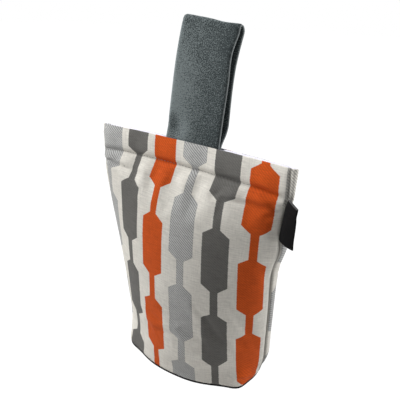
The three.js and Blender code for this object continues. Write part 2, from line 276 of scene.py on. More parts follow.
def section(v, halvings=22):
    """The outline at v below the top edge, as wide as the cloth's girth allows."""
    depth, square = float(half_depth_at(v)), float(squareness_at(v))
    girth = 2 * panel_width + hem_thickness * float(fall(v, hem_flat, hem_flat + hem_release))
    low, high = panel_width / 5, panel_width / 2 + hem_thickness
    for _ in range(halvings):
        middle = (low + high) / 2
        if outline(middle, depth, square)[2][-1] > girth:
            high = middle
        else:
            low = middle
    return outline(low, depth, square)


def on_section(shape, u):
    """Places and outward directions on a section, at distances u round from the front centre."""
    x, y, length = shape
    target = (u / (2 * panel_width)) % 1 * length[-1]
    px, py = np.interp(target, length, x), np.interp(target, length, y)
    dx = np.interp(target, length, np.gradient(x, length))
    dy = np.interp(target, length, np.gradient(y, length))
    size = np.hypot(dx, dy)
    return px, py, dy / size, -dx / size


def apart(u, line):
    """Distance from u to a line down the cloth, the short way round."""
    return (u - line + panel_width) % (2 * panel_width) - panel_width


# Relief of the cloth. Places round the bag are u, from the front centre, and places down it are v,
# from the top edge. The sewing pulls the cloth in, and the slack cloth puffs out beside it.
stitch_dent = 1.4
stitch_width = 1.7
stitch_droop = 3.7
pucker_depth = 0.75
pucker_waves = ((21, 1, 0), (35.7, 0.5, 1))  # length, share and start of each
hem_puff = 0.9
hem_ripple = 0.25
hem_lean = 2.43
right_end_taper = 1.6
left_end_taper = 2.0
seam_dent = 1.6
seam_width = 1.1
seam_lip = 0.5
# Where the filling strains the stitches most: place and half width. A ridge stands below them.
deep_spots = ((-16, 9), (12, 7), (40, 8), (62, 11))
deep_dent = 0.7
deep_ridge = 0.9
# Small folds at the ends of the stitching: place round and down, half width and half height.
fold_spots = ((72, 26, 2.6, 6), (-70, 28, 3, 6))
fold_depth = 0.8
fold_slope = 0.8
# A full and a hollow place of the front: u, half width, v, half height and how far each stands out.
front_swells = ((44, 26, 47, 18, 1.0), (52, 28, 95, 24, -1.6))
left_swell = 2.6
right_swell = 3.6
right_swell_place = 98.0
# Corners of the foot: place round it, half width, and how far each stands out.
foot_corners = ((-62, 11, 3.8), (58, 8.5, 3.7), (122, 11, 3.8), (242, 11, 3.8))
foot_flare_height = 28.0
foot_roll = 0.5
foot_edge = 0.8
# Soft folds near the foot: place, half width, highest place, height above the edge, half height,
# slope to both sides, and how far each stands out.
foot_folds = ((61, 11, 59, 13, 2.8, 0.42, 2.4), (27, 24, 27, 25, 6, 0, 2.2))
# Where the foot's edge stands off the floor: place round it, half width and height.
lift_spots = ((36, 17, 1.6), (61, 8, 1.5), (-42, 12, 1.2))
lift_reach = 30.0


def stitching_at(u):
    """Place of the stitching down the cloth. It droops towards the ends of the hem."""
    return hem_height + stitch_droop * np.abs(apart(2 * u, 0) / panel_width) ** 6


def sewn_relief(u, v):
    """The stitching's valley with its ridges, puckers and folds, the puffed hem and the side seams."""
    below = v - stitching_at(u)
    strain = sum(near(u, at, wide) for at, wide in deep_spots)
    wave = sum(share * np.sin(2 * np.pi * u / length + start) for length, share, start in pucker_waves)
    stitches = -(stitch_dent + deep_dent * strain) * near(below, 0, stitch_width)
    ridges = deep_ridge * strain * near(below, 5, 3.5)
    puckers = pucker_depth * wave * rise(below, 0, 8) * fall(below, 6, 36)
    folds = sum(-fold_depth * near(u - fold_slope * (v - down), at, wide) * near(v, down, tall)
                for at, down, wide, tall in fold_spots)
    between_ends = 1 - near(np.abs(apart(u, 0)), panel_width / 2, 6)
    puff = (hem_puff + hem_ripple * wave) * rise(v, 0, 5) * fall(below, -6, 0) * between_ends
    sewn = rise(v, 0, 3) * (0.55 + 0.45 * rise(below, 0, 12)) * fall(v, panel_height - 18, panel_height)
    from_right = apart(u, seam_right)
    valleys = near(from_right, 0, seam_width) + near(apart(u, seam_left), 0, seam_width)
    lips = near(from_right, 3, 2) + near(from_right, -3, 2)
    return stitches + ridges + puckers + folds + puff + sewn * (seam_lip * lips - seam_dent * valleys)


def filled_relief(u, v):
    """The hem's lean and its tapered ends, and where the filling makes the bag fuller or flatter."""
    lean = hem_lean * rise(v, 0, 1.6 * hem_height) * fall(v, 18, 70)
    lean = lean * (1 - near(np.abs(apart(u, 0)), panel_width / 2, 24))
    from_right, from_left = apart(u, panel_width / 2), apart(u, -panel_width / 2)
    tapered = -right_end_taper * near(from_right, 0, 6) * rise(v, 0, 22) * fall(v, 15, 40)
    tapered = tapered - left_end_taper * near(from_left, 0, 6) * fall(v, 0, 5)
    fuller = left_swell * near(from_left, 0, 22) * rise(v, 14, 30) * fall(v, 70, 150)
    from_swell = apart(u, right_swell_place)
    fuller = fuller + right_swell * near(from_swell, 0, 20) * near(v, 66, 20) * rise(v, 46, 64)
    fuller = fuller + sum(out * near(u, at, wide) * near(v, down, tall)
                          for at, wide, down, tall, out in front_swells)
    return lean + tapered + fuller


def foot_relief(u, v):
    """The foot's flared corners, its rolled edge and the soft folds above it."""
    up = panel_height - v
    corners = sum(out * near(apart(u, line), 0, wide) for line, wide, out in foot_corners)
    folds = sum(out * near(up + slope * np.abs(u - peak), high, tall) * near(u, at, wide)
                for at, wide, peak, high, tall, slope, out in foot_folds)
    flare = corners * fall(up, 0, foot_flare_height)
    return flare + folds - foot_roll * near(up, 9, 4) - foot_edge * fall(up, 0, 3)


def relief(u, v):
    """How far the cloth stands out from its section."""
    return sewn_relief(u, v) + filled_relief(u, v) + foot_relief(u, v)


def foot_lift(u):
    """How far the foot's edge stands off the floor, along the front of the bag."""
    return sum(high * near(u, at, wide) for at, wide, high in lift_spots)


def cloth_row(u, v):
    """Places of the cloth along one row, in millimetres."""
    x, y, out_x, out_y = on_section(section(v), u)
    most = 0.45 * np.abs(y) + 0.35 * fall(np.abs(y), 0, 1)  # so that front and back never meet
    push = np.maximum(relief(u, v), -most)
    x, y = x + push * out_x, y + push * out_y
    settled = settled_at(v)
    y = y + float(set_back_at(v)) - hem_bow * (1 - settled) * (x / (panel_width / 2)) ** 2
    turn = base_twist * settled
    turned_x = x * math.cos(turn) - y * math.sin(turn) + base_shift * settled
    turned_y = x * math.sin(turn) + y * math.cos(turn)
    z = float(height_at(v)) + foot_lift(apart(u, 0)) * rise(v, panel_height - lift_reach, panel_height)
    return np.stack((turned_x + hem_middle[0], turned_y + hem_middle[1], z), -1)


# Columns are closer beside the side seams, and rows are closer in the hem and near the floor.
column_step = 2.4
bag_u = seam_left + np.arange(0, 2 * panel_width, column_step)
beside_seams = [line + step for line in (seam_left, seam_right) for step in (-1.3, -0.6, 0, 0.6, 1.3)]
beside_seams = [u + 2 * panel_width if u < seam_left else u for u in beside_seams]
kept = [u for u in bag_u if min(abs(apart(u, line)) for line in beside_seams) > 0.9]
bag_u = np.array(sorted(kept + beside_seams))
bag_columns = len(bag_u)
near_hem = [1.2, 3, 6, 9, 12, 15, 17, 18, hem_height, 20, 21.5, 23.5, 26]
near_floor = [panel_height - up for up in (16, 14, 12, 10, 8, 6, 4, 2.5, 1.2, 0)]
between = list(np.linspace(28.4, panel_height - 18.4, 66))
bag_v = [0.35] + near_hem + between + near_floor
# The slot in the hem that the strap's tails go into: half length, half depth and middle.
slot_half_length = 25.5
slot_half_depth = 2.3
slot_middle = 3.5
slot_reach = 6.0


def ring_between(outer, inner, share, z):
    """Ring that lies level at z, a share of the way from one ring to another."""
    made = outer * (1 - share) + inner * share
    made[:, 2] = z
    return made


def slit_ring(u, half_width, half_depth, z):
    """The opening along the top of the hem that the strap's tails go into."""
    x = np.where(np.abs(apart(u, 0)) < panel_width / 2, apart(u, 0), -apart(u, panel_width))
    side = np.where(np.abs(apart(u, 0)) < panel_width / 2, -1, 1)
    across = np.clip(x / (panel_width / 2), -1, 1) * half_width
    near_strap = fall(np.abs(across - slot_middle), slot_half_length, slot_half_length + 3)
    deep = (0.2 + (half_depth - 0.2) * near_strap) * side
    bow = -hem_bow * (across / (panel_width / 2)) ** 2
    return np.stack((across + hem_middle[0], deep + bow + hem_middle[1], np.full(len(u), z)), -1)


top = float(height_at(0))
edge_row = cloth_row(bag_u, bag_v[0])
slit_top = slit_ring(bag_u, 89.0, slot_half_depth, top)
on_front = np.where(np.abs(apart(bag_u, 0)) < panel_width / 2, 1, -1)


def rim_ring(share, lift):
    """Ring over the top of the hem. Its front edge stands a little higher than its back edge."""
    made = ring_between(edge_row, slit_top, share, top + lift)
    made[:, 2] += 0.4 * on_front * (1 - share)
    return made


rings = [
    slit_ring(bag_u, 88.5, slot_half_depth - 0.1, top - slot_reach),
    slit_ring(bag_u, 88.5, slot_half_depth - 0.1, top - 1.2),
    rim_ring(0.85, -0.35),
    rim_ring(0.5, 0),
    rim_ring(0.22, 0.1),
    rim_ring(0.05, 0),
]
ring_v = [-9.0, -4.0, -2.4, -1.5, -0.7, -0.2]
for v in bag_v:
    rings.append(cloth_row(bag_u, v))
    ring_v.append(v)
middle = rings[-1].mean(axis=0)
for share in (0.08, 0.5):
    rings.append(ring_between(rings[-1], np.tile(middle, (bag_columns, 1)), share, bag_floor))
    ring_v.append(panel_height)


turned_under = 6.0
hem_drawn = 2.4


def printed_v(u, v):
    """The print's own v. Cloth is turned under at the right front corner, and its print with it."""
    u = (u + panel_width) % (2 * panel_width) - panel_width
    return v - float(turned_under * rise(u, 48, 64) * fall(u, seam_right - 6, seam_right) * rise(v, 186, 212))


def printed_u(u, v):
    """The print's own u. The cloth of the hem's left half is drawn a little to the right."""
    return u - float(hem_drawn * near(u, -64, 34) * fall(v, 12, 42))


def side_faces(rows, count):
    """Faces between rings of count points each."""
    return [(i * count + j, (i + 1) * count + j, (i + 1) * count + k, i * count + k)
            for i in range(rows - 1) for j in range(count) for k in ((j + 1) % count,)]


def ring_mesh(name, rings, ring_v, u):
    """Closed mesh over stacked rings, with the cloth's own u and v in metres as its UV map."""
    count = len(u)
    places = np.concatenate(rings) * mm
    ends = [np.mean(rings[0], axis=0) * mm, np.mean(rings[-1], axis=0) * mm]
    mesh = bpy.data.meshes.new(name)
    first, last = len(places), len(places) + 1
    end = (len(rings) - 1) * count
    faces = side_faces(len(rings), count)
    faces += [(first, j, (j + 1) % count) for j in range(count)]
    faces += [(last, end + (j + 1) % count, end + j) for j in range(count)]
    mesh.from_pydata([tuple(p) for p in places] + [tuple(p) for p in ends], [], faces)
    layer = mesh.uv_layers.new(name="cloth")
    for face in mesh.polygons:
        columns = [mesh.loops[k].vertex_index % count for k in face.loop_indices]
        wraps = max(columns) - min(columns) > 1
        for k in face.loop_indices:
            index = mesh.loops[k].vertex_index
            if index >= first:
                column, row = 0, (0 if index == first else len(rings) - 1)
            else:
                column, row = index % count, index // count
            across = u[column] + (2 * panel_width if wraps and column == 0 and index < first else 0)
            down = ring_v[row]
            layer.data[k].uv = (printed_u(across, down) * mm, printed_v(across, down) * mm)
    mesh.update()
    return mesh


bag = add_object("cloth_bag", ring_mesh("cloth_bag", rings, ring_v, bag_u))
bag.data.shade_smooth()

# The slack cloth settles over the filling under light pressure. The hem and the foot are held.
held_hem = (21, 33)
held_foot = (panel_height - 42, panel_height - 26)
cloth_slack = -0.012
settle_frames = 20
most_move = 2.2 * mm
drift_passes = 60


def settle(obj, row_v, count):
    """Simulates the cloth and keeps its small folds, but not the drift of whole areas."""
    held = obj.vertex_groups.new(name="held")
    for row, v in enumerate(row_v):
        weight = float(1 - rise(v, *held_hem) * fall(v, *held_foot))
        held.add(list(range(row * count, (row + 1) * count)), weight, "REPLACE")
    held.add([len(row_v) * count, len(row_v) * count + 1], 1, "REPLACE")
    cloth = obj.modifiers.new("cloth", "CLOTH")
    cloth.settings.vertex_group_mass = "held"
    cloth.settings.quality = 7
    cloth.settings.mass = 0.15
    cloth.settings.tension_stiffness = cloth.settings.compression_stiffness = 25
    cloth.settings.shear_stiffness = 8
    cloth.settings.bending_stiffness = 0.3
    cloth.settings.shrink_min = cloth_slack
    cloth.settings.use_pressure = True
    cloth.settings.uniform_pressure_force = 2.5
    cloth.settings.effector_weights.gravity = 0
    cloth.collision_settings.use_collision = False
    cloth.point_cache.frame_start = 1
    cloth.point_cache.frame_end = settle_frames
    for moment in range(1, settle_frames + 1):
        scene.frame_set(moment)
    after = obj.evaluated_get(bpy.context.evaluated_depsgraph_get()).data
    start = np.array([p.co for p in obj.data.vertices])
    move = np.array([p.co for p in after.vertices]) - start
    obj.modifiers.remove(cloth)
    obj.vertex_groups.remove(held)
    scene.frame_set(1)
    grid = move[:-2].reshape(-1, count, 3)
    drift = grid
    for _ in range(drift_passes):
        drift = (np.roll(drift, 1, 1) + 2 * drift + np.roll(drift, -1, 1)) / 4
        framed = np.pad(drift, ((1, 1), (0, 0), (0, 0)), "edge")
        drift = (framed[:-2] + 2 * drift + framed[2:]) / 4
    move[:-2] = (grid - drift).reshape(-1, 3)
    length = np.linalg.norm(move, axis=1)
    move *= np.minimum(1, most_move / np.maximum(length, 1e-9))[:, None]
    obj.data.vertices.foreach_set("co", (start + move).ravel())
    obj.data.update()


settle(bag, ring_v, bag_columns)
finer = bag.modifiers.new("finer", "SUBSURF")
finer.levels = finer.render_levels = 1
finer.boundary_smooth = "PRESERVE_CORNERS"
finer.uv_smooth = "NONE"

# Print. Upright rows of long beads joined by short bars, light grey, dark grey and orange by
# turns, woven into a cream ground. The light beads show diagonal twill lines and a thin outline.
# Each row round the bag has its own first bar. The row on the right-hand seam is shifted in the hem.
row_pitch = 28.83
first_row = -77.2
bead_half_width = 10.75
bar_half_width = 3.15
bead_pitch = 76.2
bar_length = 21.8
shoulder_length = 5.5
bar_starts = (-20.8, 38.5, 18.9, 39.7, 16.3, 36.4, -20.8, 84, 29, 50, 16.3, 36.4, -20.8, 38.5)
lowest_start, start_span = -30.0, 200.0
seam_row = 6.0
seam_row_end = 28.0
seam_row_shift = 0.09
printed_from = -0.8
edge_scale = 1100
edge_raggedness = 1.1
edge_sharpness = 2.5
outline_sharpness = 1.8
cream = (0.69, 0.664, 0.605, 1)
top_edge = (0.72, 0.71, 0.78, 1)
light_grey = (0.48, 0.48, 0.468, 1)
twill_dark = (0.25, 0.25, 0.248, 1)
dark_grey = (0.139, 0.135, 0.126, 1)
orange = (0.565, 0.085, 0.012, 1)
twill_slope = (-0.62, 0.78)
twill_pitch = 0.0017
pale_twill = 0.45
speck_place = (-0.0606, 0.0315, 0)
speck_radius = 0.0012
speck_strength = 0.9
speck_colour = (0.2, 0.19, 0.17, 1)
# Painted shadow in the side seams' valleys: its width in millimetres, its darkness and its colour.
seam_shadow = 1.7
seam_shadow_darkness = 0.75
seam_shadow_colour = (0.06, 0.06, 0.055, 1)
# Painted light: the hem's colour is made lighter by this share, standing in for the stronger light on it.
hem_painted_light = 0.22
cloth_thread = 0.00045
cloth_slub = 0.55
# Uneven threads of a weave: scale along u, v and w, and strength.
weave_slubs = (((110, 1100, 1), 0.9), ((1000, 120, 1), 0.5), ((1500, 1500, 1), 0.5), ((45, 60, 1), 0.3))


def fading(tree, value, reach=1.0):
    """1 where the value is 0, falling to 0 where it comes to the reach."""
    if reach != 1.0:
        value = calculate(tree, "DIVIDE", value, reach)
    return calculate(tree, "SUBTRACT", 1.0, value, clamp=True)


def cloth_map(tree):
    """The piece's own cloth coordinates in metres, whole and as u and v."""
    cloth = add_node(tree, "ShaderNodeUVMap", uv_map="cloth").outputs[0]
    return cloth, *parts(tree, cloth)


def parts(tree, vector):
    """The first two numbers of a vector."""
    return add_node(tree, "ShaderNodeSeparateXYZ", {0: vector}).outputs[:2]


def noise(tree, vector, scale, detail=2):
    """Uneven values around 0."""
    node = add_node(tree, "ShaderNodeTexNoise", {"Vector": vector, "Scale": scale, "Detail": detail})
    return calculate(tree, "SUBTRACT", node.outputs["Fac"], 0.5)


def patch(tree, vector, place, radius):
    """1 at a place, falling to 0 at the radius."""
    reach = add_node(tree, "ShaderNodeVectorMath", enumerate((vector, place)), operation="DISTANCE")
    return fading(tree, reach.outputs["Value"], radius)


def raise_surface(tree, shader, height, strength, distance):
    """Bump under a Principled shader."""
    raised = add_node(tree, "ShaderNodeBump", {"Height": height, "Strength": strength, "Distance": distance})
    tree.links.new(raised.outputs[0], shader.inputs["Normal"])


def mix_colours(tree, share, first, second, blend_type="MIX"):
    """A mix of two colours: each is a colour or an output socket."""
    node = tree.nodes.new("ShaderNodeMix")
    node.data_type = "RGBA"
    node.blend_type = blend_type
    for name, value in (("Factor_Float", share), ("A_Color", first), ("B_Color", second)):
        socket = next(s for s in node.inputs if s.identifier == name)
        if isinstance(value, (int, float, tuple)):
            socket.default_value = value
        else:
            tree.links.new(value, socket)
    return next(s for s in node.outputs if s.identifier == "Result_Color")


def new_group(name, tree_type, inputs, outputs):
    """A node group with its sockets, by name and kind, and its input and output nodes."""
    tree = bpy.data.node_groups.new(name, tree_type)
    for in_out, sockets in (("INPUT", inputs), ("OUTPUT", outputs)):
        for socket, kind in sockets.items():
            tree.interface.new_socket(socket, in_out=in_out, socket_type="NodeSocket" + kind)
    return tree, tree.nodes.new("NodeGroupInput"), tree.nodes.new("NodeGroupOutput")


def bead_print_group():
    """Masks of the woven print, the seams' painted shadow and the hem's painted light, from the cloth's own
    coordinates in metres.
    """
    masks = ("Bead", "Kind", "Outline", "Top Edge", "Seam", "Pale", "Hem")
    tree, given, result = new_group("bead_print", "ShaderNodeTree", {"Cloth": "Vector"},
                                    dict.fromkeys(masks, "Float"))
    u, v = (calculate(tree, "MULTIPLY", part, 1 / mm) for part in parts(tree, given.outputs["Cloth"]))
    from_first = calculate(tree, "SUBTRACT", u, first_row - row_pitch / 2)
    from_first = calculate(tree, "DIVIDE", from_first, row_pitch)
    row = calculate(tree, "FLOOR", from_first)
    offset = calculate(tree, "SUBTRACT", calculate(tree, "SUBTRACT", from_first, row), 0.5)
    beside_seam = calculate(tree, "MULTIPLY", calculate(tree, "COMPARE", row, seam_row, 0.1),
                            calculate(tree, "LESS_THAN", v, seam_row_end))
    offset = calculate(tree, "MULTIPLY_ADD", beside_seam, seam_row_shift, offset)
    across = calculate(tree, "MULTIPLY", calculate(tree, "ABSOLUTE", offset), row_pitch)
    starts = tree.nodes.new("ShaderNodeValToRGB")
    starts.color_ramp.interpolation = "CONSTANT"
    ramp = starts.color_ramp.elements
    while len(ramp) < len(bar_starts):
        ramp.new(0.5)
    for i, start in enumerate(bar_starts):
        ramp[i].position = i / len(bar_starts)
        ramp[i].color = 3 * ((start - lowest_start) / start_span,) + (1,)
    place = calculate(tree, "DIVIDE", calculate(tree, "ADD", row, 1.5), float(len(bar_starts)))
    tree.links.new(place, starts.inputs[0])
    start = calculate(tree, "MULTIPLY_ADD", starts.outputs[0], start_span, lowest_start)
    below_start = calculate(tree, "SUBTRACT", v, start)
    down = calculate(tree, "FLOORED_MODULO", below_start, bead_pitch)
    into = calculate(tree, "MINIMUM", calculate(tree, "SUBTRACT", down, bar_length),
                     calculate(tree, "SUBTRACT", bead_pitch, down))
    into = calculate(tree, "MAXIMUM", into, calculate(tree, "MULTIPLY", below_start, -1.0))
    share = calculate(tree, "DIVIDE", into, shoulder_length, clamp=True)
    half_width = calculate(tree, "MULTIPLY_ADD", share, bead_half_width - bar_half_width, bar_half_width)
    ragged = calculate(tree, "MULTIPLY", noise(tree, given.outputs["Cloth"], edge_scale), edge_raggedness)
    inside = calculate(tree, "ADD", calculate(tree, "SUBTRACT", half_width, across), ragged)
    from_right = calculate(tree, "ABSOLUTE", calculate(tree, "SUBTRACT", u, seam_right))
    from_left = calculate(tree, "ABSOLUTE", calculate(tree, "SUBTRACT", from_right, panel_width))
    # Mask of the painted shadow along the side seams.
    seam = fading(tree, calculate(tree, "MINIMUM", from_right, from_left), seam_shadow)
    printed = calculate(tree, "GREATER_THAN", v, printed_from)
    bead = calculate(tree, "MULTIPLY_ADD", inside, edge_sharpness, 0.5, clamp=True)
    bead = calculate(tree, "MULTIPLY", bead, printed)
    edge = fading(tree, calculate(tree, "ABSOLUTE", calculate(tree, "MULTIPLY", inside, outline_sharpness)))
    kind = calculate(tree, "FLOORED_MODULO", row, 3.0)
    # Mask of the hem, for its painted light.
    hem = calculate(tree, "DIVIDE", calculate(tree, "SUBTRACT", hem_height + 1, v), 5.0, clamp=True)
    for name, mask in zip(masks, (bead, kind, edge, fading(tree, printed), seam, beside_seam, hem)):
        tree.links.new(mask, result.inputs[name])
    return tree


def weave_group():
    """Height and shade of a plain weave with uneven weft threads, from coordinates in metres."""
    tree, given, result = new_group("plain_weave", "ShaderNodeTree",
                                    {"Cloth": "Vector", "Thread": "Float", "Slub": "Float"},
                                    {"Height": "Float", "Shade": "Float"})
    scale = calculate(tree, "DIVIDE", math.pi, given.outputs["Thread"])
    warp, weft = (calculate(tree, "SINE", calculate(tree, "MULTIPLY", part, scale))
                  for part in parts(tree, given.outputs["Cloth"]))
    crossing = calculate(tree, "MULTIPLY", warp, weft)
    tree.links.new(calculate(tree, "MULTIPLY_ADD", crossing, 0.5, 0.5), result.inputs["Height"])
    shade = 1.0
    for scale, strength in weave_slubs:
        stretch = add_node(tree, "ShaderNodeMapping", {"Vector": given.outputs["Cloth"], "Scale": scale})
        uneven = calculate(tree, "MULTIPLY", noise(tree, stretch.outputs[0], 1), strength)
        shade = calculate(tree, "MULTIPLY_ADD", uneven, given.outputs["Slub"], shade)
    tree.links.new(shade, result.inputs["Shade"])
    return tree


bead_print = bead_print_group()
plain_weave = weave_group()


def woven(tree, cloth, thread, slub):
    """The weave's height and shade, with its thread in metres."""
    return add_node(tree, "ShaderNodeGroup", {"Cloth": cloth, "Thread": thread, "Slub": slub},
                    node_tree=plain_weave).outputs


def printed_cloth():
    """Printed cotton: the ground and the thread of the beads, the seams' painted shadow, the hem's painted
    light and one small speck.
    """
    made, tree, shader = new_material("printed_cloth")
    cloth, u, v = cloth_map(tree)
    pattern = add_node(tree, "ShaderNodeGroup", {"Cloth": cloth}, node_tree=bead_print).outputs
    weave = woven(tree, cloth, cloth_thread, cloth_slub)
    slant = calculate(tree, "ADD", calculate(tree, "MULTIPLY", u, twill_slope[0]),
                      calculate(tree, "MULTIPLY", v, twill_slope[1]))
    twill = calculate(tree, "SINE", calculate(tree, "MULTIPLY", slant, 2 * math.pi / twill_pitch))
    lines = calculate(tree, "MULTIPLY_ADD", twill, 1.1, 0.1, clamp=True)
    pale = pattern["Pale"]
    lines = calculate(tree, "MULTIPLY", lines, calculate(tree, "MULTIPLY_ADD", pale, -pale_twill, 1.0))
    grey = mix_colours(tree, pale, light_grey, cream)
    grey = mix_colours(tree, lines, grey, twill_dark)
    grey = mix_colours(tree, pattern["Outline"], grey, twill_dark)
    is_dark = calculate(tree, "COMPARE", pattern["Kind"], 1.0, 0.1)
    is_orange = calculate(tree, "COMPARE", pattern["Kind"], 2.0, 0.1)
    thread = mix_colours(tree, is_dark, grey, dark_grey)
    thread = mix_colours(tree, is_orange, thread, orange)
    slanted = calculate(tree, "MULTIPLY_ADD", twill, -0.09, 0.97)
    thread = mix_colours(tree, 1.0, thread, slanted, "MULTIPLY")
    ground = mix_colours(tree, pattern["Top Edge"], cream, top_edge)
    speck = calculate(tree, "MULTIPLY", patch(tree, cloth, speck_place, speck_radius), speck_strength)
    ground = mix_colours(tree, speck, ground, speck_colour)
    colour = mix_colours(tree, pattern["Bead"], ground, thread)
    # Painted light: the hem's colour is lightened here.
    shade = calculate(tree, "MULTIPLY", weave["Shade"],
                      calculate(tree, "MULTIPLY_ADD", pattern["Hem"], hem_painted_light, 1.0))
    colour = mix_colours(tree, 1.0, colour, shade, "MULTIPLY")
    # Painted shadow: the colour is darkened along the side seams.
    shadow = calculate(tree, "MULTIPLY", pattern["Seam"], seam_shadow_darkness)
    colour = mix_colours(tree, shadow, colour, seam_shadow_colour)
    tree.links.new(colour, shader.inputs["Base Color"])
    shader.inputs["Roughness"].default_value = 0.85
    shader.inputs["Specular IOR Level"].default_value = 0.1
    shader.inputs["Sheen Weight"].default_value = 0.03
    raise_surface(tree, shader, weave["Height"], 0.35, 0.0003)
    return made


bag.data.materials.append(printed_cloth())
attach(bag, "root")
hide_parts("filled_bag")

# Base panel. Black canvas, sewn to the lower edge of the bag all round, so its turned edge shows
# as a thin dark line along the foot.
base_thickness = 1.6
flat_inset = 25.0
canvas_thread = 0.0007
canvas_slub = 0.5
canvas_colour = (0.014, 0.013, 0.014, 1)
foot = cloth_row(bag_u, panel_height)
foot_middle = foot.mean(axis=0)


def foot_ring(inset, z):
    """Ring inside the foot's edge. It follows the edge's lift, and lies flat farther in."""
    arm = foot - foot_middle
    length = np.hypot(arm[:, 0], arm[:, 1])[:, None]
    made = foot_middle + arm * (length - inset) / length
    made[:, 2] = z + foot_lift(apart(bag_u, 0)) * float(fall(inset, 0, flat_inset))
    return made


base_levels = ((30, 1.5), (18, 1.5), (10, 1.5), (6, base_thickness), (0.6, base_thickness), (0, 1.3),
               (-0.15, 0.9), (0, 0.35), (0.5, 0), (6, 0), (10, 0), (18, 0), (30, 0))
rings = [foot_ring(inset, z) for inset, z in base_levels]
ring_v = [-2.0 * i for i in range(len(rings))]
base = add_object("base_canvas", ring_mesh("base_canvas", rings, ring_v, bag_u))
base.data.shade_smooth()
canvas, tree, shader = new_material("base_canvas")
cloth, u, v = cloth_map(tree)
weave = woven(tree, cloth, canvas_thread, canvas_slub)
colour = mix_colours(tree, 1.0, canvas_colour, weave["Shade"], "MULTIPLY")
tree.links.new(colour, shader.inputs["Base Color"])
shader.inputs["Roughness"].default_value = 0.9
shader.inputs["Specular IOR Level"].default_value = 0.2
base.data.materials.append(canvas)
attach(base, "root")
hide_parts("base_panel")

# Handle. One strip of slate-grey velvet folded into a loop, its tails sewn between the panels of
# the hem. The two legs stand apart near the hem and lie close together towards the fold.
strap_width = 50.0
strap_thickness = 1.8
handle_height = 83.6
handle_offset = 3.5
handle_side_lean = 0.05
handle_tilt = 0.034
top_dip = 0.008
handle_warp = 0.5
top_narrowing = 0.6
left_trim = 0.55
edge_curl = 2.4
edge_curl_height = 65.0
tail_depth = 13.5
tail_half = strap_thickness / 2 + 0.25
leg_top = 80.0
# Soft dents in the front leg: place across and up it, half width and height, and depth.
strap_dents = ((-0.72, 9, 0.32, 8, 2.4), (-0.1, 8, 0.3, 10, -1.0), (0.35, 40, 0.5, 22, 0.8))
# How far the legs lean back, against the height above the hem.
front_lean = through_knots(((0, 0), (14, 1), (28, 2.4), (50, 5.2), (66, 8.6), (80, 12.4)))
back_lean = through_knots(((0, 0), (4, 2.2), (9, 5.6), (16, 7.6), (36, 7.7), (54, 8.6), (66, 10.8),
                           (80, 14.8)))
velvet_dark = (0.038, 0.048, 0.05, 1)
velvet_light = (0.19, 0.22, 0.222, 1)
velvet_edge = (0.42, 0.45, 0.45, 1)
velvet_edge_sharpness = 900.0
# Painted sheen: the strap's colour is lighter towards its left edge, by this slope across it.
velvet_painted_sheen_slope = -21.0
# Unevenness of the pile: scale, detail and strength.
velvet_pile = ((1250, 0, 2.6), (420, 2, 1.1), (75, 2, 0.7))
# Painted shade and light on the front leg: a painted shade in the dent low on its left with a painted
# highlight beside it, a painted shade high on the left and a painted highlight mid left: place in metres,
# radius and strength.
velvet_painted_patches = (((-0.0185, 0.0235, 0), 0.012, -0.65), ((-0.009, 0.022, 0), 0.012, 0.3),
                  ((-0.018, 0.095, 0), 0.03, -0.4), ((-0.019, 0.05, 0), 0.024, 0.22))


def strap_path():
    """Middle of the strap: up the front leg, over the fold and down the back leg."""
    up = np.linspace(0, leg_top, 60)
    front = np.stack((front_lean(up) - tail_half, up), -1)
    front_top, back_top = float(front_lean(leg_top)), float(back_lean(leg_top))
    reach = (back_top - front_top) / 2 + tail_half
    angle = np.linspace(np.pi, 0, 18)[1:-1]
    fold = np.stack(((front_top + back_top) / 2 + reach * np.cos(angle),
                     leg_top + (handle_height - leg_top) * np.sin(angle)), -1)
    down = leg_top * np.linspace(1, 0, 60) ** 1.25
    rear = np.stack((back_lean(down) + tail_half, down), -1)
    tail = np.array(((0, -tail_depth), (0, -tail_depth / 2)))
    return np.concatenate((tail - (tail_half, 0), front, fold, rear, (tail + (tail_half, 0))[::-1]))


def strap_outline(points_across=25):
    """Section of the strap, as places across its width and through its thickness, with shares."""
    across = np.linspace(-1, 1, points_across)
    half_ply = strap_thickness / 2 * np.minimum(1, np.sqrt(np.maximum(1 - np.abs(across) ** 24, 0)) + 0.15)
    upper = np.stack((across, half_ply), -1)
    lower = np.stack((across, -half_ply), -1)[::-1]
    return np.concatenate((upper, lower))


path = strap_path()
run = np.concatenate(([0], np.cumsum(np.hypot(*np.diff(path, axis=0).T))))
section_points = strap_outline()
rings = []
for i, spot in enumerate(path):
    along = path[min(i + 1, len(path) - 1)] - path[max(i - 1, 0)]
    along = along / np.hypot(*along)
    inward = np.array((along[1], -along[0]))
    raised = float(smooth(spot[1] / handle_height))
    half_width = strap_width / 2 - top_narrowing * float(rise(spot[1], handle_height - 6, handle_height))
    height = max(spot[1], 0)
    share, through = section_points[:, 0], section_points[:, 1]
    warp = -handle_warp * share * math.sin(math.pi * min(1, height / handle_height)) ** 2
    if i < len(path) / 2:
        for at, up, wide, tall, deep in strap_dents:
            warp = warp + deep * near(share, at, wide) * near(height, up, tall)
    d = spot[0] + inward[0] * through + warp
    slope = handle_tilt * share + top_dip * near(share, 0.4, 0.35)
    h = spot[1] * np.where(spot[1] > 0, 1 - slope * raised, 1) + inward[1] * through
    x = handle_offset + share * half_width + handle_side_lean * height
    x = x + left_trim * (1 - share) * float(rise(height, 0, 24))
    if i < len(path) / 2:
        x = x - edge_curl * near(height, edge_curl_height, 14) * smooth(share)
    rings.append(np.stack((x + hem_middle[0], d + hem_middle[1], top + h), -1))


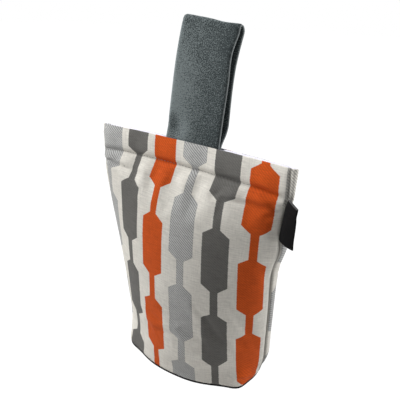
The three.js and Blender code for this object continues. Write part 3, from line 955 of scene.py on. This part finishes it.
def strip_mesh(name, rings, cap, across, along):
    """Closed mesh over rings of one outline, with the cap's faces at both ends. Its UV map takes u
    from the point's place in the outline and v from its ring, in metres."""
    count = len(across)
    end = (len(rings) - 1) * count
    faces = side_faces(len(rings), count) + cap + [tuple(end + j for j in face[::-1]) for face in cap]
    mesh = bpy.data.meshes.new(name)
    mesh.from_pydata([tuple(p) for p in np.concatenate(rings) * mm], [], faces)
    layer = mesh.uv_layers.new(name="cloth")
    for loop in mesh.loops:
        i, j = divmod(loop.vertex_index, count)
        layer.data[loop.index].uv = (across[j] * mm, along[i] * mm)
    made = bmesh.new()
    made.from_mesh(mesh)
    bmesh.ops.recalc_face_normals(made, faces=made.faces)
    made.to_mesh(mesh)
    made.free()
    return mesh


cap = [tuple(range(len(section_points)))]
across = section_points[:, 0] * strap_width / 2
strap = add_object("velvet_strap", strip_mesh("velvet_strap", rings, cap, across, run))
strap.data.shade_smooth()
velvet, tree, shader = new_material("slate_velvet")
cloth, u, v = cloth_map(tree)
# Painted sheen, lighter towards the strap's left edge, then the pile's uneven grain and the painted patches.
shade = calculate(tree, "MULTIPLY_ADD", u, velvet_painted_sheen_slope, 0.5)
for scale, detail, strength in velvet_pile:
    shade = calculate(tree, "MULTIPLY_ADD", noise(tree, cloth, scale, detail), strength, shade)
# Painted shade and highlights, in patches.
for place, radius, strength in velvet_painted_patches:
    shade = calculate(tree, "MULTIPLY_ADD", patch(tree, cloth, place, radius), strength, shade)
shade = calculate(tree, "ADD", shade, 0.0, clamp=True)
colour = mix_colours(tree, shade, velvet_dark, velvet_light)
# The cut edge on the right catches the light.
from_edge = calculate(tree, "SUBTRACT", (strap_width / 2 + 0.1) * mm, u)
edge = fading(tree, calculate(tree, "MULTIPLY", from_edge, velvet_edge_sharpness))
colour = mix_colours(tree, calculate(tree, "MULTIPLY", edge, 0.85), colour, velvet_edge)
tree.links.new(colour, shader.inputs["Base Color"])
shader.inputs["Roughness"].default_value = 0.9
shader.inputs["Specular IOR Level"].default_value = 0.1
shader.inputs["Sheen Weight"].default_value = 0.5
shader.inputs["Sheen Roughness"].default_value = 0.35
shader.inputs["Sheen Tint"].default_value = (0.75, 0.85, 0.9, 1)
raise_surface(tree, shader, shade, 0.4, 0.0004)
strap.data.materials.append(velvet)
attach(strap, "root")
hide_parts("handle_loop")

# Side label. A short black woven ribbon folded into a loop, with both ends sewn into the
# right-hand seam below the hem. Nothing is written on it.
label_top = 20.6
label_height = 36.0
label_length = 15.6
label_ply = 0.45
label_gap = 0.5
label_root = 1.95
label_spread = 1.0
label_turn = -0.66
label_twist = 0.28
label_bend = (0.1, 0.75)
label_steps = 30
ribbon_thread = 0.0004
ribbon_slub = 0.6
selvedge_sharpness = 2200.0
ribbon_black = (0.0035, 0.0035, 0.0038, 1)
ribbon_edge = (0.3, 0.3, 0.3, 1)


def label_outline():
    """Hairpin section of the ribbon: out along one ply, round the fold and back along the other."""
    outer, inner = label_ply + label_gap / 2, label_gap / 2
    fold = label_length - outer
    straight = np.linspace(0, fold, 9)[:-1]
    turn = np.linspace(-np.pi / 2, np.pi / 2, 9)
    outside = [(x, -outer) for x in straight]
    outside += [(fold + outer * math.cos(a), outer * math.sin(a)) for a in turn]
    outside += [(x, outer) for x in straight[::-1]]
    inside = [(x, inner) for x in straight]
    inside += [(fold + inner * math.cos(a), inner * math.sin(a)) for a in turn[::-1]]
    inside += [(x, -inner) for x in straight[::-1]]
    return np.array(outside + inside)


label_points = label_outline()
rings = []
for step in np.linspace(0, 1, label_steps + 1):
    v = label_top + label_height * step
    root = cloth_row(np.array([seam_right]), v)[0]
    bend = label_bend[0] * (1 - step) + label_bend[1] * step
    out = label_root + label_spread * (1 - step)
    start = label_turn + label_twist * (step - 0.5) - bend / 2
    along = label_points[:, 0]
    through = label_points[:, 1]
    turn = start + bend * along / label_length
    reach = label_length / bend
    x = root[0] + np.cos(start) * out + reach * (np.sin(turn) - np.sin(start)) - np.sin(turn) * through
    y = root[1] + np.sin(start) * out + reach * (np.cos(start) - np.cos(turn)) + np.cos(turn) * through
    rings.append(np.stack((x, y, np.full(len(x), root[2])), -1))


count = len(label_points)
cap = [(j, j + 1, count - 2 - j, count - 1 - j) for j in range(count // 2 - 1)]
along = np.linspace(0, label_height, label_steps + 1)
label = add_object("ribbon_label", strip_mesh("ribbon_label", rings, cap, label_points[:, 0], along))
ribbon, tree, shader = new_material("black_ribbon")
cloth, u, v = cloth_map(tree)
weave = woven(tree, cloth, ribbon_thread, ribbon_slub)
selvedge = fading(tree, calculate(tree, "MULTIPLY", v, selvedge_sharpness))
colour = mix_colours(tree, 1.0, ribbon_black, weave["Shade"], "MULTIPLY")
colour = mix_colours(tree, calculate(tree, "MULTIPLY", selvedge, 0.35), colour, ribbon_edge)
tree.links.new(colour, shader.inputs["Base Color"])
shader.inputs["Roughness"].default_value = 0.8
shader.inputs["Specular IOR Level"].default_value = 0.08
label.data.materials.append(ribbon)
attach(label, "root")
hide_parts("side_label")

# Stitches. Short machine stitches of cotton thread hold the hem shut, in one row across the front
# and one across the back. They pull the cloth in and lie just proud of it.
stitch_pitch = 3.0
stitch_length = 2.1
stitch_thickness = 0.32
stitched = ((-87, 82), (93, 262))
thread_colour = (0.27, 0.26, 0.24, 1)


def stitch_nodes():
    """Thread capsules laid along each line at an even pitch."""
    tree, given, result = new_group(
        "stitch_row", "GeometryNodeTree",
        {"Geometry": "Geometry", "Pitch": "Float", "Length": "Float", "Thickness": "Float",
         "Thread": "Material"},
        {"Geometry": "Geometry"})
    given = given.outputs
    line = add_node(tree, "GeometryNodeMeshToCurve", {"Mesh": given["Geometry"]})
    even = add_node(tree, "GeometryNodeResampleCurve",
                    {"Curve": line.outputs["Curve"], "Length": given["Pitch"]}, mode="LENGTH")
    tangent = add_node(tree, "GeometryNodeInputTangent")
    turn = add_node(tree, "FunctionNodeAlignRotationToVector", {"Vector": tangent.outputs[0]}, axis="X")
    capsule = add_node(tree, "GeometryNodeMeshUVSphere", {"Segments": 8, "Rings": 6, "Radius": 0.5})
    size = add_node(tree, "ShaderNodeCombineXYZ",
                    enumerate((given["Length"], given["Thickness"], given["Thickness"])))
    laid = add_node(tree, "GeometryNodeInstanceOnPoints",
                    {"Points": even.outputs["Curve"], "Instance": capsule.outputs["Mesh"],
                     "Rotation": turn.outputs[0], "Scale": size.outputs[0]})
    real = add_node(tree, "GeometryNodeRealizeInstances", {"Geometry": laid.outputs["Instances"]})
    painted = add_node(tree, "GeometryNodeSetMaterial",
                       {"Geometry": real.outputs["Geometry"], "Material": given["Thread"]})
    tree.links.new(painted.outputs["Geometry"], result.inputs["Geometry"])
    return tree


def stitch_line(start, end):
    """Places along the hem's stitching, just proud of the cloth, in metres."""
    made = []
    for u in np.arange(start, end, 1.5):
        here = cloth_row(np.array([u]), stitching_at(u))[0]
        made.append(here + (0, -0.1 if abs(apart(u, 0)) < panel_width / 2 else 0.1, 0))
    return np.array(made) * mm


thread, tree, shader = new_material("hem_thread")
shader.inputs["Base Color"].default_value = thread_colour
shader.inputs["Roughness"].default_value = 0.8
lines = [stitch_line(start, end) for start, end in stitched]
places = np.concatenate(lines)
count = len(lines[0])
edges = [(i, i + 1) for i in range(len(places) - 1) if i != count - 1]
stitches = add_object("hem_stitches", bpy.data.meshes.new("hem_stitches"))
stitches.data.from_pydata([tuple(p) for p in places], edges, [])
sewing = stitches.modifiers.new("sewing", "NODES")
sewing.node_group = stitch_nodes()
sockets = {item.name: item.identifier for item in sewing.node_group.interface.items_tree
           if item.in_out == "INPUT"}
sewing[sockets["Pitch"]] = stitch_pitch * mm
sewing[sockets["Length"]] = stitch_length * mm
sewing[sockets["Thickness"]] = stitch_thickness * mm
sewing[sockets["Thread"]] = thread
sewn = bpy.data.meshes.new_from_object(stitches.evaluated_get(bpy.context.evaluated_depsgraph_get()))
stitches.modifiers.remove(sewing)
stitches.data = sewn
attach(stitches, "root")
